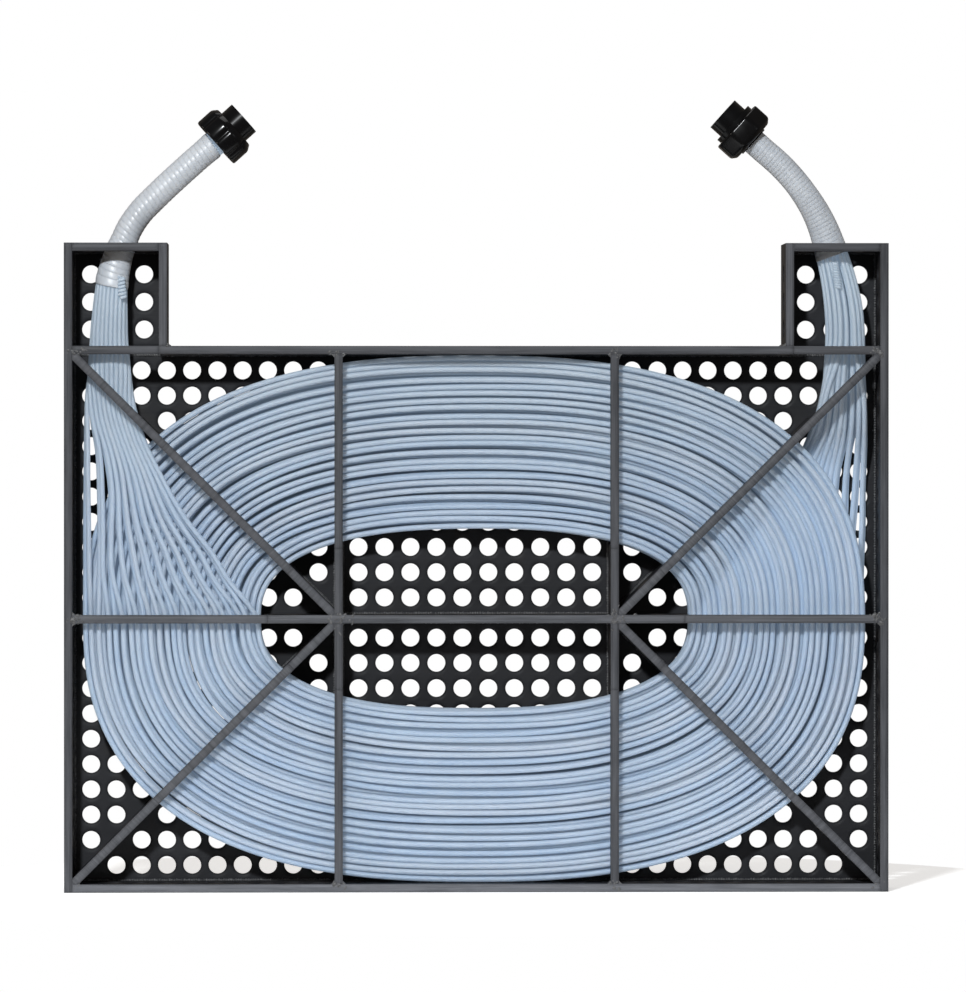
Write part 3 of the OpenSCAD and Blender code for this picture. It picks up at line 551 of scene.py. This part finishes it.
def forward_by(s):
    """How far a bundle lies in front of the frame's middle plane, s along its riser."""
    return -7 * (1 - ease((s - 35) / 70))


def bundle_half(s, side):
    """Half width and half depth of a bundle, s along its riser: flat in the tower, round above it."""
    if side < 0:
        round_up = ease((s + 15) / 150)
        flare = 1.1 * ease((s - 222) / 28)
        return mix(19.2, 11.9, round_up) + flare, mix(10, 11.9, round_up) + flare
    round_up = ease((s - 10) / 165)
    return mix(19.6, 11.8, round_up), mix(10, 11.8, round_up)


# The inner edge of a fan: how far it is from the frame's middle (second row) at heights over the middle
FAN_EDGE = ((0, 14, 35, 59, 83, 110, 141, 165, 194, 230, 265),
            (206.4, 209.7, 219.6, 239.1, 263, 288.4, 304.4, 318.3, 328.3, 336.2, 340.4))


def lanes(first, low, high):
    """Twelve lanes: the first ones as given, the others spread evenly from low to high."""
    return first + list(np.linspace(low, high, 12 - len(first)))


# How far each pair of a fan's tubes lies from its outer edge, outermost first, at heights over the middle
LEFT_LANES = {58: lanes([4, 17], 26.5, 131), 89: lanes([3.7, 17.5], 26, 102.5),
              119: lanes([3.6, 17], 28.5, 85), 150: lanes([3.8, 16.5, 25, 29.5], 38, 70),
              185: lanes([4, 13.5, 20.5, 26], 32, 51)}
RIGHT_LANES = {58: lanes([], 6, 131), 89: lanes([4, 14.5, 21.5], 31, 102),
               119: lanes([4.5, 11.5, 22], 32, 84), 150: lanes([4, 10.5, 21], 30, 68),
               185: lanes([3.8, 9.5, 17], 23, 50)}


def bundle(side, flat, length, rows_y, outer_edge, pair_lanes, seed):
    """Leads the 24 tubes from a flat row beside the winding, over each other in two loose rows, up into
    their round bundle, pushing apart whatever comes too close at each step. Returns a line for each."""
    shake = np.random.RandomState(seed)
    phase, pace = shake.uniform(0, 6.3, TUBES), shake.uniform(30, 52, TUBES)
    deep = np.arange(TUBES) % 2
    rise = tower_foot - middle_z
    heights = list(np.arange(0, rise, 7.0)) + list(rise + np.arange(0, length, 7.0)) + [rise + length]
    place = np.array(flat, float) - (riser_x, 0)
    start = place.copy()
    known = sorted(pair_lanes)
    lane = np.repeat(np.array([pair_lanes[h][::-1] for h in known]), 2, axis=1)
    lane += np.outer((1.5, 1.4, 1.1, 0.9, 0.9), np.where(deep > 0, -1, 1) * shake.uniform(0.5, 1.5, TUBES))
    made, before = [], None
    for h in heights:
        s = h - rise
        # the space that the tubes have here: from a flat box over the winding to the riser's round one
        free = ease((h - 125) / (95 if side < 0 else 70))
        later = 2.4 * ease((h - 172) / 22) * (1 - ease((h - 232) / 30)) if side > 0 else 0
        x0 = np.interp(h, *FAN_EDGE) + later - riser_x
        x1 = mix(outer_edge - riser_x, 19.2, ease((h - 150) / 110))
        foot_half, foot_deep = bundle_half(max(0, s), side)
        spread = ease((h - 240) / 30)
        thick = mix(fan_r, thin_r, ease((h - 240) / 90))
        half_x = mix((x1 - x0) / 2, foot_half, spread)
        middle_x = mix((x0 + x1) / 2, 0, spread)
        forward = forward_by(s)
        y0, y1 = mix(rows_y[0] - fan_r, forward - 10, free), mix(rows_y[1] + fan_r, forward + 10, free)
        half_y = mix((y1 - y0) / 2, foot_deep, spread)
        middle_y = mix((y0 + y1) / 2, forward, spread)
        if before is not None:
            place = np.column_stack([(place[:, 0] - before[0]) / before[1] * (half_x - thick) + middle_x,
                                     (place[:, 1] - before[2]) / before[3] * (half_y - thick) + middle_y])
            led = 1 - ease((h - 178) / 50)
            if led > 0:
                inward = np.array([np.interp(h, known, lane[:, i]) for i in range(TUBES)])
                wish = mix(start[:, 0], outer_edge - riser_x - inward, ease(h / 50))
                loose = np.where(np.arange(TUBES) < 20, 0.9, 0.4) * ease(h / 40)
                wish += loose * np.sin(h / pace + phase)
                wish_y = mix(start[:, 1], np.where(deep > 0, rows_y[1], rows_y[0]), ease((h - 4) / 36))
                place[:, 0] = mix(place[:, 0], wish, led)
                place[:, 1] = mix(place[:, 1], wish_y, led * (1 - ease((h - 110) / 50)))
        gap = 2 * thick * 0.97
        box = ease((h - 205) / 60)  # from a flat box to a round cross-section
        for _ in range(0 if before is None else 40 if h < 178 else 80):
            apart = place[:, None, :] - place[None, :, :]
            far = np.sqrt((apart ** 2).sum(2)) + np.eye(TUBES) * 99 + 0.001
            push = np.clip(gap - far, 0, None) / far
            place = place + 0.5 * (apart * push[:, :, None]).sum(1)
            u = np.clip((place[:, 0] - middle_x) / (half_x - thick), -1, 1)
            v = np.clip((place[:, 1] - middle_y) / (half_y - thick), -1, 1)
            out = np.maximum(1, np.hypot(u, v) / mix(1.5, 1, box))
            place = np.column_stack([middle_x + u / out * (half_x - thick),
                                     middle_y + v / out * (half_y - thick)])
        before = (middle_x, half_x - thick, middle_y, half_y - thick)
        made.append(place)
    smooth = np.array(made)
    for _ in range(5):  # a tube is too stiff to follow every push
        smooth[1:-1] = (smooth[:-2] + 2 * smooth[1:-1] + smooth[2:]) / 4
    result = [[] for _ in range(TUBES)]
    for h, places in zip(heights, smooth):
        for i, (x, y) in enumerate(places):
            if h <= rise:
                x, z = riser_x + x + SWAY[side][1][0] * ease((h - 200) / 65), middle_z + h
            else:
                px, pz, c, sn = riser_path(h - rise, side)
                x, z = px + x * c, pz + x * sn
            result[i].append((side * x, y, z))
    return result


start_row = [winding_point(i, 0) for i in range(TUBES)]
end_row = [winding_point(i, turns_made) for i in range(TUBES)]
left_length, right_length = 276.5 - 23.4, 268.7 - 30.8  # the risers, less what is inside the unions
left_lines = bundle(-1, [(abs(x), y) for x, y, _ in start_row], left_length, (-20.4, -15.2), 382.3,
                    LEFT_LANES, 3)
right_lines = bundle(1, [(abs(x), y) for x, y, _ in end_row], right_length, (18.0, 23.6), 383.5,
                     RIGHT_LANES, 9)

coil_tree, coil_in, coil_out = geometry_tree("tube", ("Radius", "NodeSocketFloat"),
                                             ("Sides", "NodeSocketInt"))
link = coil_tree.links.new
coil_line = add(coil_tree, "GeometryNodeMeshToCurve")
coil_thick = add(coil_tree, "GeometryNodeInputNamedAttribute", data_type="FLOAT")
coil_thick.inputs["Name"].default_value = "thickness"
coil_set = add(coil_tree, "GeometryNodeSetCurveRadius")
coil_round = add(coil_tree, "GeometryNodeCurvePrimitiveCircle")
coil_skin = add(coil_tree, "GeometryNodeCurveToMesh", Fill_Caps=True)
coil_smooth = add(coil_tree, "GeometryNodeSetShadeSmooth")
coil_coat = add(coil_tree, "GeometryNodeSetMaterial", Material=tube_tones[0])
link(coil_in.outputs["Geometry"], coil_line.inputs[0])
link(coil_line.outputs[0], coil_set.inputs["Curve"])
link(coil_thick.outputs[0], coil_set.inputs["Radius"])
link(coil_set.outputs[0], coil_skin.inputs["Curve"])
link(coil_in.outputs["Sides"], coil_round.inputs["Resolution"])
link(coil_in.outputs["Radius"], coil_round.inputs["Radius"])
link(coil_round.outputs[0], coil_skin.inputs["Profile Curve"])
if "Scale" in coil_skin.inputs:
    link(coil_thick.outputs[0], coil_skin.inputs["Scale"])
link(coil_skin.outputs[0], coil_smooth.inputs[0])
link(coil_smooth.outputs[0], coil_coat.inputs["Geometry"])
link(coil_coat.outputs[0], coil_out.inputs[0])


def tube_along(name, line, radius, thickness, finish):
    """A tube along points in metres, its radius times the thickness at each point."""
    holder = holder_with(name + "_line", line, [(k, k + 1) for k in range(len(line) - 1)], coil_tree,
                         {"Radius": radius, "Sides": 10}, thickness=thickness)
    tube = plain_mesh(holder, name, finish)
    tube.data.materials[0] = finish
    return tube


for i in range(TUBES):
    left_part = np.array(left_lines[i][::-1])
    right_part = np.array(right_lines[i])
    dense = [winding_point(i, turn) for turn in turn_grid]
    line = np.vstack([left_part[:-1], thinned(dense), right_part[1:]])
    for _ in range(3):  # a short even-out where a fan runs into the winding
        line[1:-1] = (line[:-2] + 6 * line[1:-1] + line[2:]) / 8
    slim = np.array([mix(fan_r, thin_r, ease((z - 505) / 90)) / tube_r for z in line[:, 2]])
    slim[len(left_part) + 2:-len(right_part) - 2] = 1
    thickness = np.convolve(np.pad(slim, 2, mode="edge"), np.ones(5) / 5, mode="valid")
    tube = tube_along(f"tube_{i + 1:02d}", [tuple(p) for p in line / 1000], tube_r / 1000, thickness,
                      tube_tones[(0, 1, 0, 2, 0, 0, 1, 2)[(i * 5) % 8]])
    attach(tube, "frame")
    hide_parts("winding_core", "winding_front_layer", "left_fan", "right_fan", "left_riser",
                "right_riser")

# ---------------------------------------------------------------------------
# Spiral wraps: a milky plastic strip wound round each bundle above its tower, edge to edge, its free
# end left loose inside the tower.
# ---------------------------------------------------------------------------
wrap_material, wrap_tree, wrap_shader = plain_material("milky strip")
wrap_cloud = noise(wrap_tree, own_place(wrap_tree), 30.0, 4.0, 0.6)
wrap_tone = ramp(wrap_tree, wrap_cloud, (0.470, 0.497, 0.537), (0.556, 0.585, 0.623), 0.3, 0.72)
wrap_tree.links.new(wrap_tone, wrap_shader.inputs["Base Color"])
wrap_tree.links.new(ranged(wrap_tree, wrap_cloud, 0.3, 0.7, 0.28, 0.44), wrap_shader.inputs["Roughness"])
wrap_shader.inputs["Subsurface Weight"].default_value = 0.5
wrap_shader.inputs["Subsurface Radius"].default_value = (1.0, 0.9, 0.8)
wrap_shader.inputs["Subsurface Scale"].default_value = 0.0008

TO_THE_TURN = 28  # places of the strip


def solid(name, points, faces, material):
    """A closed mesh object with its faces turned outwards and shaded smooth."""
    mesh = bpy.data.meshes.new(name)
    mesh.from_pydata(points, [], faces)
    mesh.materials.append(material)
    shell = bmesh.new()
    shell.from_mesh(mesh)
    bmesh.ops.recalc_face_normals(shell, faces=shell.faces)
    shell.to_mesh(mesh)
    shell.free()
    mesh.shade_smooth()
    made = bpy.data.objects.new(name, mesh)
    bpy.context.scene.collection.objects.link(made)
    return made


def wrap_places(start, end, pitch, first_pitch, easing, seed):
    """Places along the strip: path length, angle and width, with coarser turns where it starts."""
    shake = random.Random(seed)
    phases = [shake.uniform(0, 6.3) for _ in range(2)]
    places, s, turn = [], start, 0.6
    while s < end:
        step = mix(first_pitch, pitch, ease((s - start) / easing))
        tilt = 0.7 * math.sin(turn + phases[0]) + 0.25 * math.sin(turn * 0.31 + phases[1])
        places.append((s + tilt, turn, step * 1.02))
        turn += 2 * math.pi / TO_THE_TURN
        s += step / TO_THE_TURN
    return places


def strip_mesh(name, places, crown, side):
    """A strip with rounded edges, laid round a bundle at the given places and as high as its crown."""
    profile = [(-0.64, -0.2), (-0.56, 0.38), (-0.36, 0.80), (-0.18, 0.95), (0.0, 1.0), (0.18, 0.95),
               (0.36, 0.80), (0.56, 0.38), (0.64, -0.2)]
    points = []
    for s, turn, width in places:
        half_x, half_y = bundle_half(s, side)
        for along, out in profile:
            q = s + along * width
            px, pz, c, sn = riser_path(q, side)
            across_x = (half_x + 0.5 + out * crown) * math.cos(turn)
            deep = (half_y + 0.5 + out * crown) * math.sin(turn) + forward_by(q)
            points.append((side * (px + across_x * c) / 1000, deep / 1000, (pz + across_x * sn) / 1000))
    n, last = len(profile), (len(places) - 1) * len(profile)
    faces = [(k + j, k + j + n, k + (j + 1) % n + n, k + (j + 1) % n)
             for k in range(0, last, n) for j in range(n)]
    faces += [tuple(range(n)), tuple(reversed(range(last, last + n)))]
    made = solid(name, points, faces, wrap_material)
    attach(made, "frame")
    return made


left_places = wrap_places(start=58, end=237, pitch=5.2, first_pitch=7.6, easing=34, seed=1)
left_wrap = strip_mesh("left_spiral_strip", left_places, 0.55, -1)
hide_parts("left_spiral_wrap")
right_places = wrap_places(start=90, end=234, pitch=4.0, first_pitch=4.4, easing=30, seed=2)
right_wrap = strip_mesh("right_spiral_strip", right_places, 0.20, 1)
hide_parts("right_spiral_wrap")

curl_steps = 20  # points to the turn of a loose end
for name, side, top, tip, curl_r, curl_pitch in (
        ("left_loose_end", -1, (345.0, -16.0, 597), (343.5, -17.0, 577), 2.4, 3.4),
        ("right_loose_end", 1, (349.5, -12.0, 612), (352.5, -14.6, 586), 1.9, 2.5)):
    count = int((top[2] - tip[2]) / curl_pitch * curl_steps)
    curl = []
    for k in range(count + 1):
        t = k / count
        turn = 2 * math.pi * k / curl_steps
        open_r = curl_r * (1 + 0.25 * t)
        curl.append((side * (mix(top[0], tip[0], t) + open_r * math.cos(turn)) / 1000,
                     (mix(top[1], tip[1], t) + 0.7 * open_r * math.sin(turn)) / 1000,
                     mix(top[2], tip[2], t) / 1000))
    loose = tube_along(name, curl, 0.0015, [1.0] * (count + 1), tube_tones[1])
    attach(loose, "frame")

# ---------------------------------------------------------------------------
# Unions: black moulded plastic, glossy. The left nut sits next to the socket and has eight soft lobes;
# the right one sits next to the bundle, is octagonal, and faces a plain collar.
# ---------------------------------------------------------------------------
union_material, union_tree, union_shader = plain_material("black moulding")
union_cloud = noise(union_tree, own_place(union_tree), 60.0, 3.0, 0.6)
union_tone = ramp(union_tree, union_cloud, (0.0016, 0.0017, 0.0021), (0.0036, 0.0038, 0.0046))
union_bump = bumped(union_tree, union_cloud, 0.05, 0.0002)
union_tree.links.new(union_tone, union_shader.inputs["Base Color"])
union_tree.links.new(ranged(union_tree, union_cloud, 0.3, 0.7, 0.16, 0.24), union_shader.inputs["Roughness"])
union_tree.links.new(union_bump.outputs["Normal"], union_shader.inputs["Normal"])
union_shader.inputs["Specular IOR Level"].default_value = 0.2

# Where each union's socket opens, in metres, and the way it points: the CAD's mounts
left_end, left_out = Vector((-0.226129, 0, 0.752375)), Vector((0.743145, 0, 0.669131))
right_end, right_out = Vector((0.240511, 0, 0.757071)), Vector((-0.743145, 0, 0.669131))
grip_r = 24.5  # what lies outside this radius has the grips' shape


def softened(profile, radius):
    """A closed outline (along, out) with its corners rounded by short arcs."""
    result, steps = [], 3
    for k, here in enumerate(profile):
        before, here, after = Vector(profile[k - 1]), Vector(here), Vector(profile[(k + 1) % len(profile)])
        a, b = before - here, after - here
        cut = min(radius, a.length * 0.45, b.length * 0.45)
        p, q = here + a.normalized() * cut, here + b.normalized() * cut
        for t in (j / steps for j in range(steps + 1)):
            result.append(tuple((1 - t) ** 2 * p + 2 * t * (1 - t) * here + t * t * q))
    return result


def turned_piece(name, end, outward, profile, shape):
    """A moulding turned round a union's axis, whose radius shape(angle, out) changes."""
    steps = 128
    outward = outward.normalized()
    side_a = Vector((0, 1, 0))
    side_b = outward.cross(side_a)
    points, faces = [], []
    for k in range(steps):
        angle = 2 * math.pi * k / steps
        around = side_a * math.cos(angle) + side_b * math.sin(angle)
        for along, out in profile:
            points.append(tuple(end + outward * (along / 1000) + around * (shape(angle, out) / 1000)))
    n = len(profile)
    for k in range(steps):
        for j in range(n):
            a, b = k * n + j, k * n + (j + 1) % n
            c, d = ((k + 1) % steps) * n + (j + 1) % n, ((k + 1) % steps) * n + j
            faces.append((a, b, c, d))
    return solid(name, points, faces, union_material)


def lobed(angle, out):
    """Eight soft lobes on the outside of the left nut."""
    if out < grip_r:
        return out
    return out - 2.3 * (1 - abs(math.sin(4 * angle))) ** 2.4


def octagonal(angle, out):
    """Eight flats with well rounded corners on the outside of the right nut."""
    if out < grip_r:
        return out
    flat_r, corner_r = 26.7, 28.2
    a = (angle + math.pi / 8) % (math.pi / 4) - math.pi / 8
    return min(flat_r / math.cos(a), corner_r) - flat_r + out


left_nut = turned_piece("left_nut_moulding", left_end, left_out, softened(
    [(-13.3, 20.0), (-13.3, 22.6), (-18.6, 27.1), (-37.3, 27.1), (-37.3, 21.6), (-18.6, 21.6), (-18.4, 18.1),
     (-13.3, 18.1)], 2.2), lobed)
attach(left_nut, "left_nut")
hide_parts("left_nut")
right_nut = turned_piece("right_nut_moulding", right_end, right_out, softened(
    [(-18.0, 21.6), (-18.0, 26.7), (-35.2, 26.7), (-39.6, 22.6), (-39.6, 16.1), (-34.5, 16.1),
     (-34.5, 21.6)], 1.9), octagonal)
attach(right_nut, "right_nut")
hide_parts("right_nut")
dress(("left_tail", "left_threaded_body", "right_tail", "right_socket_body"), union_material)

# ---------------------------------------------------------------------------
# Inside the unions: a rubber ring at each joint face, and the resin disc that the tubes are bonded in.
# ---------------------------------------------------------------------------
rubber, rubber_tree, rubber_shader = plain_material("black rubber")
rubber_cloud = noise(rubber_tree, own_place(rubber_tree), 300.0, 3.0)
rubber_rough = ranged(rubber_tree, rubber_cloud, 0.0, 1.0, 0.5, 0.75)
rubber_tree.links.new(rubber_rough, rubber_shader.inputs["Roughness"])
rubber_shader.inputs["Base Color"].default_value = (0.012, 0.012, 0.012, 1)
dress(("left_o_ring", "right_o_ring"), rubber)

resin, resin_tree, resin_shader = plain_material("cast resin")
resin_cloud = noise(resin_tree, own_place(resin_tree), 120.0, 4.0)
resin_tone = ramp(resin_tree, resin_cloud, (0.42, 0.40, 0.34), (0.60, 0.58, 0.52))
resin_tree.links.new(resin_tone, resin_shader.inputs["Base Color"])
resin_shader.inputs["Roughness"].default_value = 0.35
dress(("left_tube_sheet", "right_tube_sheet"), resin)
